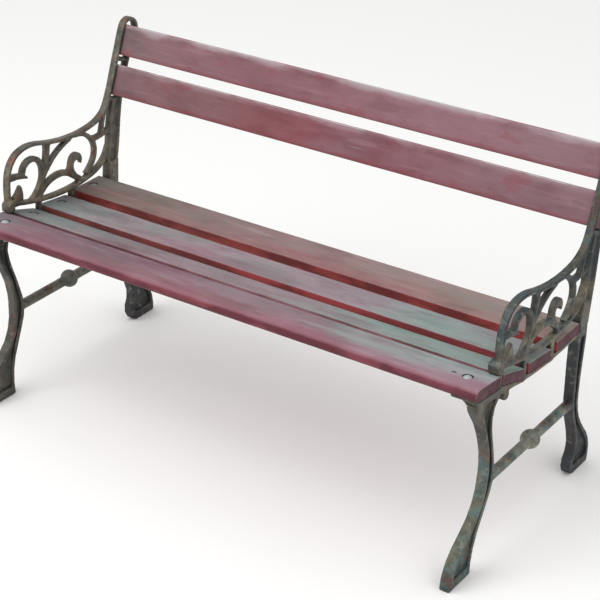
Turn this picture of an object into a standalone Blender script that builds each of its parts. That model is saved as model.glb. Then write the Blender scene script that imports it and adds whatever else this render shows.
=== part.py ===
"""Two-seat garden bench: cast iron ends, four seat slats and two back slats, bolted together.

Front faces -Y, +Z is up, and the origin is on the ground under the middle of the bench.
Side views are written in millimetres as (depth, height): depth is measured backwards from the
tips of the front feet, and height from the ground.
"""

import math

import bmesh
import bpy
from mathutils import Matrix, Vector

MM = 0.001

# Driving sizes, in millimetres.
LENGTH = 1190.0
DEPTH = 559.4
HALF = LENGTH / 2
FRONT_SLAT_THICK = 25.0
SEAT_SLAT_THICK = 22.0
BACK_SLAT_THICK = 20.0
BACK_SLAT_WIDE = 67.0
BACK_LEAN = math.radians(21.8)
GAP = 0.3

# Widths across the bench of the members of one end casting, and how far each is set in.
LEG_WIDE = 22.0
STRAP_WIDE = 17.0
BAR_WIDE = 16.0
SCROLL_WIDE = 12.0
WEB_WIDE = 8.0
LEDGE_WIDE = 58.0
LEDGE_THICK = 6.0
RAIL_WIDE = 12.0
ARM_FOOT_WIDE = 24.0
PANEL_DEEP = 8.0
LEG_LEAN_IN = 16.0
LEAN_BELOW = 336.0

# Stretcher between the legs.
STRETCHER_RADIUS = 10.5
STRETCHER_HEIGHT = 184.0
STRETCHER_ENDS = (126.0, 442.0)
BALL_RADIUS = 19.5
BALL_DEPTH = 286.0

# Fasteners: M8 carriage bolts.
BOLT_RADIUS = 4.0
BOLT_HOLE_RADIUS = 4.6
HEAD_RADIUS = 10.0
HEAD_HIGH = 4.6
HEAD_SUNK = 2.6
RECESS_RADIUS = 11.6
WASHER_RADIUS = 9.0
WASHER_THICK = 1.8
NUT_ACROSS = 13.0
NUT_HIGH = 6.5
BOLT_TAIL = 4.0
BOLT_X = {
    "seat_slat_front": 551.0, "seat_slat_second": 558.0, "seat_slat_third": 568.0,
    "seat_slat_rear": 573.0, "back_slat_lower": 548.0, "back_slat_upper": 548.0,
}
TURNED_STEPS = 14

# Top edges of the seat slats: (front depth, front height), (rear depth, rear height).
SEAT_SLATS = {
    "seat_slat_front": ((36, 415), (122, 406)),
    "seat_slat_second": ((134, 404), (212, 379)),
    "seat_slat_third": ((227, 383), (313, 373)),
    "seat_slat_rear": ((334, 377), (424, 378)),
}

# Back slats: distance of each lower edge along the back, from the foot of its front face.
BACK_FOOT = (464.6, 566.0)
BACK_SLATS = {"back_slat_lower": -7.0, "back_slat_upper": 81.6}

# Outlines of the casting, (depth, height).
FRONT_LEG = [
    (0, 0), (0, 14), (3, 30), (12, 52), (29, 74), (53, 94), (77, 117), (92, 142), (100, 168),
    (103, 200), (103, 222), (99, 250), (92, 272), (82, 298), (69, 324), (54, 347), (42, 366),
    (37, 383), (132, 376), (122, 362), (107, 347), (102, 328), (105, 304), (111, 280),
    (120, 250), (127, 220), (131, 200), (130, 183), (126, 164), (116, 142), (102, 113),
    (88, 84), (79, 56), (75, 26), (75, 0),
]
FRONT_LEG_PANEL = [
    (13, 20), (19, 44), (37, 68), (60, 88), (84, 113), (100, 142), (108, 170), (110, 200),
    (109, 226), (105, 252), (98, 276), (88, 302), (79, 324), (71, 343), (66, 358), (68, 367),
    (76, 370), (109, 364), (107, 356), (99, 345), (95, 328), (98, 302), (106, 276), (113, 250),
    (119, 222), (122, 200), (121, 184),
    (117, 168), (106, 146), (92, 116), (80, 88), (72, 60), (67, 20),
]
REAR_LEG = [
    (485, 0), (473, 5), (466, 20), (468, 38), (476, 52), (478, 72), (470, 101), (458, 130),
    (445, 160), (438, 190), (435, 230), (431, 270), (429, 310), (430, 362), (438, 410),
    (467, 410), (463, 357), (462, 300), (461, 245), (462, 204), (465, 180), (470, 160),
    (479, 140), (492, 120), (508, 100), (525, 80), (538, 59), (545, 39), (547, 18), (545, 0),
]
REAR_LEG_PANEL = [
    (483, 20), (477, 30), (485, 52), (487, 74), (479, 104), (467, 133), (454, 163), (447, 192),
    (444, 230), (440, 270), (438, 310), (439, 338), (454, 338), (453, 300), (452, 245),
    (453, 203), (457, 178), (463, 156), (472, 135), (485, 115), (501, 95), (517, 75),
    (529, 56), (536, 38), (537, 20),
]
ARMREST = [
    (126.5, 430), (126.5, 452), (128, 471), (132, 490), (141.5, 508), (160, 523.5), (188, 530),
    (217, 527.5), (257, 517), (300, 509), (347, 506), (390, 509), (417, 516.5), (440, 532),
    (460, 568), (480, 618), (500, 668), (508, 688),
]
CAP_CENTRE = (533.5, 690.0)
CAP_RADIUS = 22.3
REAR_STRAP = [(551, 678), (537, 654), (521, 622), (505, 583), (493, 547), (483, 501),
              (475.6, 451), (466, 401), (459, 362)]
LOWER_BAR = [
    (122, 424.0), (140, 418), (170, 409.5), (200, 402.5), (230, 396.7), (260, 392.5), (290, 390.2),
    (320, 389.8), (350, 391.8), (380, 396.5), (402, 402.5), (422, 412.5), (437, 427), (446, 444),
]
POST_FLANGE = [(434, 352), (436, 380), (440, 410), (446, 438), (450, 465), (453, 490),
               (458, 512), (464, 533), (469, 550)]
POST_WEB = [
    (433, 350), (436, 400), (446, 432), (450, 460), (453, 490), (460, 520), (467, 551),
    (494, 551), (483, 501), (475.6, 451), (466, 401), (460, 350),
]

# Scrolls under the armrest: centre line and widths at its start, middle and end.
SCROLLS = {
    "front_ring": ([(196, 403.5), (210, 413), (223, 427), (231, 442), (234, 459), (231.5, 474),
                    (224, 487), (213, 494.5), (200, 497), (187, 493.5), (177.5, 485), (174, 474)],
                   (11, 10, 12)),
    "ring_tie": ([(128, 477), (150, 475), (165, 471.5), (178, 466), (187, 461)], (13, 10.5, 3)),
    "riser": ([(235, 452), (243, 470), (249, 488), (252, 505), (252, 518)], (10, 12, 14)),
    "great_ring_left": ([(229, 436), (238, 449.5), (250, 462), (263, 474), (276, 483), (291, 491),
                         (307, 497.5), (326, 503)], (9, 9, 8)),
    "great_ring_right": ([(336, 505), (360, 501), (379, 491), (392, 478), (399.5, 464),
                          (401, 450), (398, 436), (391, 424), (381, 413), (368, 403)],
                         (8, 9, 10)),
    "sling": ([(214, 402), (226, 414), (240, 424.5), (257, 431.5), (281, 434.3), (301, 431),
               (318, 422.5), (334, 411), (348, 400)], (11, 12, 12)),
    "post_tie": ([(390, 480), (408, 476.5), (425, 478), (442, 480.5), (456, 483)], (10, 10, 12)),
    "corner_tie": ([(424, 476), (427, 490), (431, 505), (436, 520), (443, 536)], (10, 7, 9)),
}
VOLUTE = [
    (306, 426), (314, 439), (316.5, 448), (320.5, 457), (328, 464), (338, 466), (347, 463),
    (353, 457), (355.5, 449), (354.5, 442), (351.5, 435.5), (348, 443), (342, 447.5),
    (336, 448.5), (331, 446), (328.5, 441), (328, 435), (331, 426), (336, 417), (322, 415),
]
LEAF = [
    (134, 409), (139, 430), (147, 436.5), (154, 444), (163, 452.5), (167, 445), (169.3, 434),
    (169.3, 422), (167, 408),
]
SPACERS = {
    "front_neck": [(119.0, 372), (124.4, 372), (132.0, 412), (123.6, 412)],
    "second_spacer": [(208, 349), (219, 349), (223, 400), (214, 400)],
    "third_spacer": [(313, 341), (328, 341), (330, 393), (315, 393)],
}
ARM_FOOT = [(114, 408.5), (129, 407.5), (132.5, 411), (132.5, 433), (122, 431), (116.5, 427.5),
            (114, 424.5)]
# Underside of the rail along the ledge's outer edge.
RAIL_UNDER = [(47, 378), (85, 371), (125, 364), (165, 358), (205, 352), (250, 347), (300, 344.2),
              (350, 344.2), (400, 345.5), (438, 347)]

# Bracket that spreads the front leg's top under the ledge: (inset from the outer face, height).
GUSSET = [(16, 350), (22, 353), (24.5, 359), (28.5, 367), (36, 374.5), (45, 379.5), (52, 383),
          (52, 386), (6, 386), (6, 350)]
GUSSET_DEPTH = (53.0, 66.0)

KNOB_CENTRE = (148.0, 354.0)
KNOB_RADIUS = 11.0
BACK_TIES = (-15.5, 72.5)
BACK_TIE_HIGH = 10.0
LUG_HIGH = 34.0
LUG_THICK = 10.0


def clear_scene():
    for thing in list(bpy.data.objects):
        bpy.data.objects.remove(thing, do_unlink=True)


def new_collection(name, hidden=False):
    group = bpy.data.collections.new(name)
    group.hide_render = hidden
    bpy.context.scene.collection.children.link(group)
    return group


def paint(name, colour, roughness, metallic=0.0):
    material = bpy.data.materials.new(name)
    material.use_nodes = True
    shader = material.node_tree.nodes["Principled BSDF"]
    shader.inputs["Base Color"].default_value = (*colour, 1.0)
    shader.inputs["Roughness"].default_value = roughness
    shader.inputs["Metallic"].default_value = metallic
    material.diffuse_color = (*colour, 1.0)
    return material


# ---- side-view geometry, in millimetres ----


def flow(points, steps=3):
    """A smooth line through points, as a Catmull-Rom curve with this many steps a span."""
    line = [Vector(p) for p in points]
    line = [2 * line[0] - line[1], *line, 2 * line[-1] - line[-2]]
    out = []
    for a, b, c, d in zip(line, line[1:], line[2:], line[3:]):
        for i in range(steps):
            t = i / steps
            out.append(0.5 * (2 * b + (c - a) * t + (2 * a - 5 * b + 4 * c - d) * t * t
                              + (3 * b - a - 3 * c + d) * t ** 3))
    out.append(line[-2])
    return out


def ribbon(centre, widths):
    """Closed outline of a band along a centre line; widths are at its start, middle and end."""
    start, middle, end = widths
    left, right = [], []
    last = len(centre) - 1
    for i, point in enumerate(centre):
        along = (centre[min(i + 1, last)] - centre[max(i - 1, 0)]).normalized()
        across = Vector((-along.y, along.x))
        t = 2 * i / last
        wide = start + (middle - start) * t if t < 1 else middle + (end - middle) * (t - 1)
        left.append(point + across * wide / 2)
        right.append(point - across * wide / 2)
    return left + right[::-1]


def arc(centre, radius, from_degrees, to_degrees, steps):
    """Points along an arc, angles measured from the rearward direction up."""
    turn = [from_degrees + (to_degrees - from_degrees) * i / steps for i in range(steps + 1)]
    return [Vector(centre) + radius * Vector((math.cos(math.radians(a)), math.sin(math.radians(a))))
            for a in turn]


def back_point(along, behind):
    """A point of the back: along it from BACK_FOOT, and behind the slats' front faces."""
    up = Vector((math.sin(BACK_LEAN), math.cos(BACK_LEAN)))
    rear = Vector((up.y, -up.x))
    return Vector(BACK_FOOT) + up * along + rear * behind


def slat_frame(name):
    """Front top corner, direction to the rear, upward normal and width of a seat slat."""
    front, rear = (Vector(p) for p in SEAT_SLATS[name])
    along = (rear - front).normalized()
    return front, along, Vector((-along.y, along.x)), (rear - front).length


def slat_thick(name):
    return FRONT_SLAT_THICK if name == "seat_slat_front" else SEAT_SLAT_THICK


def rounded_section(corner, along, normal, wide, thick, radii):
    """A slat's section, its top edge from corner; radii are (front, rear) edge roundings."""
    centres = ((radii[0], 180, 90), (wide - radii[1], 90, 0), (wide - radii[1], 0, -90),
               (radii[0], -90, -180))
    out = []
    for (across, begin, end), radius, top in zip(
            centres, (radii[0], radii[1], radii[1], radii[0]), (1, 1, 0, 0)):
        down = -radius if top else radius - thick
        steps = 6 if radius > 6 else 2
        for p in arc((0, 0), radius, begin, end, steps):
            out.append(corner + along * (across + p.x) + normal * (down + p.y))
    clean = [out[0]]
    for p in out[1:]:
        if (p - clean[-1]).length > 0.05:
            clean.append(p)
    return clean if (clean[0] - clean[-1]).length > 0.05 else clean[:-1]


def ledge_line():
    """Top of the ledge: flat under each slat, meeting half way between them."""
    flats = []
    for name in SEAT_SLATS:
        corner, along, normal, wide = slat_frame(name)
        low = corner - normal * (slat_thick(name) + GAP)
        flats.append((low, low + along * wide))
    line = [flats[0][0] + (flats[0][1] - flats[0][0]) * 0.13]
    for (_, end), (begin, _) in zip(flats, flats[1:]):
        line += [end, begin] if begin.x - end.x > 6 else [(end + begin) / 2]
    return line + [flats[-1][1] + Vector((12, 0))]


# ---- solids, in metres ----


def world(depth, height, x=0.0):
    return Vector((x * MM, (depth - DEPTH / 2) * MM, height * MM))


def extruded(points, thick, placing):
    """A flat outline of points in metres, given this thickness, in its own plane and then placed."""
    data = bpy.data.curves.new("outline", "CURVE")
    data.dimensions = "2D"
    data.fill_mode = "BOTH"
    data.extrude = thick / 2
    spline = data.splines.new("POLY")
    spline.points.add(len(points) - 1)
    for point, (across, up) in zip(spline.points, points):
        point.co = (across, up, 0.0, 1.0)
    spline.use_cyclic_u = True
    curve = bpy.data.objects.new("outline", data)
    curve.matrix_world = placing
    bpy.context.scene.collection.objects.link(curve)
    return baked(curve)


def slab(outline, x_low, x_high):
    """A side-view outline, (depth, height), extruded across the bench between two X positions."""
    points = [world(depth, height).yz for depth, height in outline]
    middle = (x_low + x_high) / 2 * MM
    placing = Matrix(((0, 0, 1, middle), (1, 0, 0, 0), (0, 1, 0, 0), (0, 0, 0, 1)))
    return extruded(points, (x_high - x_low) * MM, placing)


def front_slab(outline, near, far):
    """A front-view outline, (X, height), extruded between two depths."""
    points = [world(0, height, x).xz for x, height in outline]
    middle = world((near + far) / 2, 0).y
    placing = Matrix(((1, 0, 0, 0), (0, 0, -1, middle), (0, 1, 0, 0), (0, 0, 0, 1)))
    return extruded(points, (far - near) * MM, placing)


def baked(source, name="piece"):
    """The object as a plain closed mesh in world space, facing out. The source is removed."""
    bpy.context.view_layer.update()
    graph = bpy.context.evaluated_depsgraph_get()
    mesh = bpy.data.meshes.new_from_object(source.evaluated_get(graph))
    mesh.transform(source.matrix_world)
    bpy.data.objects.remove(source, do_unlink=True)
    shape = bmesh.new()
    shape.from_mesh(mesh)
    bmesh.ops.remove_doubles(shape, verts=shape.verts, dist=1e-6)
    bmesh.ops.recalc_face_normals(shape, faces=shape.faces)
    shape.to_mesh(mesh)
    shape.free()
    result = bpy.data.objects.new(name, mesh)
    bpy.context.scene.collection.objects.link(result)
    return result


def combine(target, pieces, operation, name="piece"):
    """Boolean of the target with each piece in turn; the pieces are used up."""
    for piece in pieces:
        step = target.modifiers.new(operation.lower(), "BOOLEAN")
        step.operation = operation
        step.object = piece
    result = baked(target, name)
    for piece in pieces:
        bpy.data.objects.remove(piece, do_unlink=True)
    return result


def facing(direction):
    """Rotation that turns +Z to the direction."""
    return Vector((0, 0, 1)).rotation_difference(direction).to_matrix().to_4x4()


def rod(centre, direction, radius, length, sides=TURNED_STEPS):
    """A cylinder of this length centred on a point, sizes in millimetres."""
    bpy.ops.mesh.primitive_cylinder_add(vertices=sides, radius=radius * MM, depth=length * MM)
    made = bpy.context.object
    made.matrix_world = Matrix.Translation(centre) @ facing(direction)
    return made


def stretcher(side):
    x = side * (HALF - LEG_WIDE / 2)
    start, end = STRETCHER_ENDS
    bar = rod(world((start + end) / 2, STRETCHER_HEIGHT, x), Vector((0, 1, 0)),
              STRETCHER_RADIUS, end - start)
    bpy.ops.mesh.primitive_uv_sphere_add(segments=16, ring_count=10, radius=BALL_RADIUS * MM)
    ball = bpy.context.object
    ball.matrix_world = Matrix.Translation(world(BALL_DEPTH, STRETCHER_HEIGHT, x))
    return [baked(bar), baked(ball)]


def strap_outline():
    """The band that is armrest, front of the back, rounded top and rear of the back."""
    cap = arc(CAP_CENTRE, CAP_RADIUS, 155, -15, 10)
    front, rear = flow(ARMREST), flow(REAR_STRAP)
    return ribbon(front[:-1] + cap + rear, (6.5, 6.2, 9.0))


def ledge_outline():
    top = ledge_line()
    return top + [p - Vector((0, LEDGE_THICK)) for p in reversed(top)]


def rail_outline():
    return [p - Vector((0, LEDGE_THICK / 4)) for p in ledge_line()] + flow(RAIL_UNDER)[::-1]


def lug_outline(foot):
    middle = foot + BACK_SLAT_WIDE / 2
    low, high = middle - LUG_HIGH / 2, middle + LUG_HIGH / 2
    front, rear = BACK_SLAT_THICK + GAP, BACK_SLAT_THICK + GAP + LUG_THICK
    return [back_point(low, front), back_point(high, front), back_point(high, rear),
            back_point(low, rear)]


def tie_outline(along):
    low, high = along - BACK_TIE_HIGH / 2, along + BACK_TIE_HIGH / 2
    return [back_point(low, -5), back_point(high, -5), back_point(high, 33), back_point(low, 33)]


def casting_members():
    """(outline, inset of the outer face, width) of each member of an end casting."""
    yield ledge_outline(), 0.0, LEDGE_WIDE
    yield rail_outline(), 0.25, RAIL_WIDE
    yield FRONT_LEG, 0.8, LEG_WIDE
    yield REAR_LEG, 1.2, LEG_WIDE
    yield strap_outline(), 0.4, STRAP_WIDE
    yield ribbon(flow(LOWER_BAR), (9, 9.5, 9)), 1.0, BAR_WIDE
    yield ribbon(flow(POST_FLANGE), (8, 8, 8)), 1.6, BAR_WIDE
    yield POST_WEB, 5.0, WEB_WIDE
    for i, (points, widths) in enumerate(SCROLLS.values()):
        yield ribbon(flow(points), widths), 2.5 + 0.15 * i, SCROLL_WIDE
    yield flow(VOLUTE, 3), 4.35, SCROLL_WIDE
    yield flow(LEAF, 2), 4.2, SCROLL_WIDE - 2
    for i, outline in enumerate(SPACERS.values()):
        yield outline, 1.9 + 0.15 * i, BAR_WIDE - 2
    yield ARM_FOOT, 1.45, ARM_FOOT_WIDE
    yield arc(KNOB_CENTRE, KNOB_RADIUS, 0, 337.5, 15), 0.6, LEG_WIDE - 3
    for i, along in enumerate(BACK_TIES):
        yield tie_outline(along), 2.2 + 0.2 * i, BAR_WIDE - 2.5
    for i, foot in enumerate(BACK_SLATS.values()):
        yield lug_outline(foot), 2.8 + 0.2 * i, LEDGE_WIDE


def draw_in_legs(casting, side):
    """The legs lean in towards the floor, so that the feet stand inside the arms."""
    for vertex in casting.data.vertices:
        below = max(0.0, 1 - vertex.co.z / (LEAN_BELOW * MM))
        vertex.co.x -= side * LEG_LEAN_IN * MM * below


def end_frame(name, side):
    def plate(outline, inset, wide):
        outer = HALF - inset
        low, high = sorted((side * outer, side * (outer - wide)))
        return slab(outline, low, high)

    members = [plate(*member) for member in casting_members()]
    gusset = [(side * (HALF - inset), height) for inset, height in GUSSET]
    members.append(front_slab(gusset, *GUSSET_DEPTH))
    casting = combine(members[0], members[1:] + stretcher(side), "UNION")
    panels = []
    for outline, inset in ((FRONT_LEG_PANEL, 0.8), (REAR_LEG_PANEL, 1.2)):
        panels.append(plate(outline, inset - 3, PANEL_DEEP + 3))
        panels.append(plate(outline, inset + LEG_WIDE - PANEL_DEEP, PANEL_DEEP + 3))
    holes = [rod(at, up, BOLT_HOLE_RADIUS, 120) for at, up, where, _, _ in bolt_places()
             if where == side]
    casting = combine(casting, panels + [baked(hole) for hole in holes], "DIFFERENCE", name)
    draw_in_legs(casting, side)
    return casting


def seat_section(name):
    corner, along, normal, wide = slat_frame(name)
    thick = slat_thick(name)
    nose = thick / 2 if name == "seat_slat_front" else 3.0
    return rounded_section(corner, along, normal, wide, thick, (nose, 3.0))


def back_section(name):
    foot = BACK_SLATS[name]
    corner = back_point(foot, 0)
    up = (back_point(foot + 1, 0) - corner).normalized()
    out = Vector((-up.y, up.x))
    return rounded_section(corner, up, out, BACK_SLAT_WIDE, BACK_SLAT_THICK, (3.0, 3.0))


def bolt_places():
    """(point on the slat's face, direction out of it, side, slat, what it clamps) of each bolt."""
    for name in SEAT_SLATS:
        corner, along, normal, wide = slat_frame(name)
        at = corner + along * wide / 2
        up = Vector((0, normal.x, normal.y))
        for side in (-1, 1):
            clamped = slat_thick(name) + GAP + LEDGE_THICK
            yield world(at.x, at.y, side * BOLT_X[name]), up, side, name, clamped
    for name, foot in BACK_SLATS.items():
        at = back_point(foot + BACK_SLAT_WIDE / 2, 0)
        ahead = at - back_point(foot + BACK_SLAT_WIDE / 2, 1)
        out = Vector((0, ahead.x, ahead.y)).normalized()
        for side in (-1, 1):
            clamped = BACK_SLAT_THICK + GAP + LUG_THICK
            yield world(at.x, at.y, side * BOLT_X[name]), out, side, name, clamped


def slat(name, outline):
    """A plank the length of the bench, bored for its bolts, with a recess round each head."""
    plank = slab(outline, -HALF, HALF)
    cutters = []
    for at, out, _, owner, _ in bolt_places():
        if owner == name:
            cutters.append(baked(rod(at, out, BOLT_HOLE_RADIUS, 120)))
            cutters.append(baked(rod(at, out, RECESS_RADIUS, 2 * HEAD_SUNK)))
    return combine(plank, cutters, "DIFFERENCE", name)


def turned(name, profile, at, direction):
    """A solid of revolution. The profile is (radius, height), from the top down, in millimetres."""
    mesh = bpy.data.meshes.new(name)
    points = [(radius * MM, 0.0, height * MM) for radius, height in profile]
    mesh.from_pydata(points, [(i, i + 1) for i in range(len(points) - 1)], [])
    made = bpy.data.objects.new(name, mesh)
    bpy.context.scene.collection.objects.link(made)
    spin = made.modifiers.new("turn", "SCREW")
    spin.steps = spin.render_steps = TURNED_STEPS
    spin.use_merge_vertices = True
    spin.merge_threshold = 0.00001
    solid = baked(made, name)
    solid.matrix_world = Matrix.Translation(at) @ facing(direction)
    return solid


def head_profile():
    """Domed head standing on its seat, from the top down."""
    sphere = (HEAD_RADIUS ** 2 + HEAD_HIGH ** 2) / (2 * HEAD_HIGH)
    rim = math.asin(HEAD_RADIUS / sphere)
    base = GAP - HEAD_SUNK
    return [(sphere * math.sin(rim * i / 4), base + HEAD_HIGH - sphere * (1 - math.cos(rim * i / 4)))
            for i in range(5)]


def bolt(name, at, out, clamped):
    tail = -(clamped + 3 * GAP + WASHER_THICK + NUT_HIGH + BOLT_TAIL)
    seat = GAP - HEAD_SUNK
    profile = head_profile() + [(BOLT_RADIUS, seat), (BOLT_RADIUS, tail + 1), (BOLT_RADIUS - 1, tail),
                                (0.0, tail)]
    return turned(name, profile, at, out)


def washer(name, at, out, clamped):
    top = -(clamped + GAP)
    low = top - WASHER_THICK
    hole = BOLT_HOLE_RADIUS
    profile = [(hole, top), (WASHER_RADIUS, top), (WASHER_RADIUS, low), (hole, low), (hole, top)]
    return turned(name, profile, at, out)


def nut(name, at, out, clamped):
    middle = -(clamped + 2 * GAP + WASHER_THICK + NUT_HIGH / 2)
    centre = at + out * middle * MM
    body = baked(rod(centre, out, NUT_ACROSS / math.sqrt(3), NUT_HIGH, sides=6))
    bore = baked(rod(centre, out, BOLT_HOLE_RADIUS, 3 * NUT_HIGH))
    return combine(body, [bore], "DIFFERENCE", name)


def finish(thing, group, material):
    """Files the object in its collection, with its material and smooth round surfaces."""
    for owner in list(thing.users_collection):
        owner.objects.unlink(thing)
    group.objects.link(thing)
    thing.data.materials.clear()
    thing.data.materials.append(material)
    thing.data.shade_smooth()
    thing.data.set_sharp_from_angle(angle=math.radians(35))


def build():
    clear_scene()
    group = new_collection("garden_bench")
    iron = paint("weathered_cast_iron", (0.075, 0.09, 0.08), 0.6, 0.5)
    seat_wood = paint("seat_wood", (0.32, 0.27, 0.28), 0.7)
    back_wood = paint("back_wood", (0.30, 0.14, 0.15), 0.7)
    steel = paint("zinc_steel", (0.55, 0.56, 0.55), 0.4, 0.9)

    for name, side in (("left_end_frame", -1), ("right_end_frame", 1)):
        finish(end_frame(name, side), group, iron)
    for name in SEAT_SLATS:
        finish(slat(name, seat_section(name)), group, seat_wood)
    for name in BACK_SLATS:
        finish(slat(name, back_section(name)), group, back_wood)
    for at, out, side, owner, clamped in bolt_places():
        place = owner.replace("_slat", "") + ("_left" if side < 0 else "_right")
        for make, kind in ((bolt, "bolt"), (washer, "washer"), (nut, "nut")):
            finish(make(f"{kind}_{place}", at, out, clamped), group, steel)


build()
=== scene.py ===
"""Looks for the garden bench: weathered iron castings, worn painted slats and their bolts.

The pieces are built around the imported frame, in metres. Side views are written in millimetres as
(depth, height): depth is measured backwards from the tips of the front feet, height from the ground.
"""

import math

import bmesh
import bpy
import numpy as np
from mathutils import Matrix, Vector, noise

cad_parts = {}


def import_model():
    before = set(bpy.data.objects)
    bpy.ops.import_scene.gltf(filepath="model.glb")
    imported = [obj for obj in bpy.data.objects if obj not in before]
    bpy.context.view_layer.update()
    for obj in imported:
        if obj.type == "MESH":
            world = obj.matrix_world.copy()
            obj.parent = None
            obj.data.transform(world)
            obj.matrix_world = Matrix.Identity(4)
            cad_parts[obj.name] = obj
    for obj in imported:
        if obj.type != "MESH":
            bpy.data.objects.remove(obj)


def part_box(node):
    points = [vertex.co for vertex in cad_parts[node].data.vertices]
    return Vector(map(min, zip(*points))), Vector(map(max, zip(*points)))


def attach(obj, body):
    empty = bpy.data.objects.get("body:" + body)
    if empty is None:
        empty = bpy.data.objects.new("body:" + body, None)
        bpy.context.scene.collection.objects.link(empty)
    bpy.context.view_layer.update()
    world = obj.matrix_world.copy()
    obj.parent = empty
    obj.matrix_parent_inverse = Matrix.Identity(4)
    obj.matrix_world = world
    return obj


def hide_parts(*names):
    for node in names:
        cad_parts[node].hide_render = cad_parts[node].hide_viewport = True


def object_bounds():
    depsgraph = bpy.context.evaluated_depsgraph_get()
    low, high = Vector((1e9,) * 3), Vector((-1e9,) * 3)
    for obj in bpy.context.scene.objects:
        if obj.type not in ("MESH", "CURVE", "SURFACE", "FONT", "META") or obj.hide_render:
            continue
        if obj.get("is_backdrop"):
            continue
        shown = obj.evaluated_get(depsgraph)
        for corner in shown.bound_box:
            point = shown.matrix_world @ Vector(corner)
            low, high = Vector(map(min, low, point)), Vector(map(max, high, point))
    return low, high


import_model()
CAD_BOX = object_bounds()

MM = 0.001
HALF = 595.0  # Half a slat's length.
FRONT_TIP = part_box("right_end_frame")[0].y / MM
GAP = 0.3  # Clearance between pieces that touch.
ORIGIN = (0, 0, 0)
RIGHT = (1, 0, 0)
REARWARD = (0, 1, 0)
UP = (0, 0, 1)

# ---- Outlines of an end casting, in side view, with each member's inset and width ----

LEG_WIDE = 22.0
LEG_LEAN_IN = 16.0  # How far in the feet stand.
LEAN_BELOW = 336.0
PANEL_DEEP = 8.0
STRAP_WIDE = 17.0
STRAP_THICK = (8.0, 7.2, 9.6)
BAR_WIDE = 16.0
BAR_THICK = (9, 9.5, 9)
FLANGE_WIDE = 15.0
FLANGE_THICK = (8, 8, 8)
WEB_WIDE = 8.0
SCROLL_WIDE = 12.5
SCROLL_EXTRA = 1.5  # Thickness that the casting's smoothing takes off a scroll.
LEAF_WIDE = 11.0
SPACER_WIDE = 13.0
TIE_WIDE = 12.5
TIE_HIGH = 10.0
TIE_REACH = (-5.0, 33.0)  # From in front of the back slats' faces to behind them.

FRONT_LEG = [
    (0, 0), (0, 14), (3, 30), (12, 52), (29, 74), (53, 94), (77, 117), (92, 142), (100, 168),
    (103, 200), (103, 222), (99, 250), (92, 272), (82, 298), (69, 324), (54, 347), (42, 366),
    (39, 381), (132, 374), (122, 362), (107, 347), (102, 328), (105, 304), (111, 280),
    (120, 250), (127, 220), (131, 200), (130, 183), (126, 164), (116, 142), (102, 113),
    (88, 84), (79, 56), (75, 26), (75, 0),
]
FRONT_LEG_PANEL = [
    (13, 20), (19, 44), (37, 68), (60, 88), (84, 113), (100, 142), (108, 170), (110, 200),
    (109, 226), (105, 252), (98, 276), (88, 302), (79, 324), (71, 343), (66, 358), (68, 367),
    (76, 371), (110, 366), (107, 356), (99, 345), (95, 328), (98, 302), (106, 276), (113, 250),
    (119, 222), (122, 200), (121, 184), (117, 168), (106, 146), (92, 116), (80, 88), (72, 60),
    (67, 20),
]
REAR_LEG = [
    (485, 0), (473, 5), (466, 20), (468, 38), (476, 52), (478, 72), (470, 101), (458, 130),
    (445, 160), (438, 190), (435, 230), (431, 270), (429, 310), (430, 362), (438, 410),
    (467, 410), (463, 357), (462, 300), (461, 245), (462, 204), (465, 180), (470, 160),
    (479, 140), (492, 120), (508, 100), (525, 80), (538, 59), (545, 39), (547, 18), (545, 0),
]
REAR_LEG_PANEL = [
    (483, 20), (477, 30), (485, 52), (487, 74), (479, 104), (467, 133), (454, 163), (447, 192),
    (444, 230), (440, 270), (438, 310), (439, 338), (454, 338), (453, 300), (452, 245),
    (453, 203), (457, 178), (463, 156), (472, 135), (485, 115), (501, 95), (517, 75),
    (529, 56), (536, 38), (537, 20),
]
ARMREST = [
    (126.5, 430), (126.5, 452), (128, 471), (132, 490), (141.5, 508), (160, 523.5), (188, 530),
    (217, 527.5), (257, 517), (300, 509), (347, 506), (390, 509), (417, 516.5), (440, 532),
    (460, 568), (480, 618), (500, 668), (508, 688),
]
CAP_CENTRE = (533.5, 690.0)
CAP_RADIUS = 22.3
REAR_STRAP = [(551, 678), (537, 654), (521, 622), (505, 583), (493, 547), (483, 501),
              (475.6, 451), (466, 401), (459, 362)]
LOWER_BAR = [
    (122, 424.0), (140, 418), (170, 409.5), (200, 402.5), (230, 396.7), (260, 392.5), (290, 390.2),
    (320, 389.8), (350, 391.8), (380, 396.5), (402, 402.5), (422, 412.5), (437, 427), (446, 444),
]
POST_FLANGE = [(434, 352), (436, 380), (440, 410), (446, 438), (450, 465), (453, 490),
               (458, 512), (464, 533), (469, 550)]
POST_WEB = [
    (433, 350), (436, 400), (446, 432), (450, 460), (453, 490), (460, 520), (467, 551),
    (494, 551), (483, 501), (475.6, 451), (466, 401), (460, 350),
]
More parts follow.
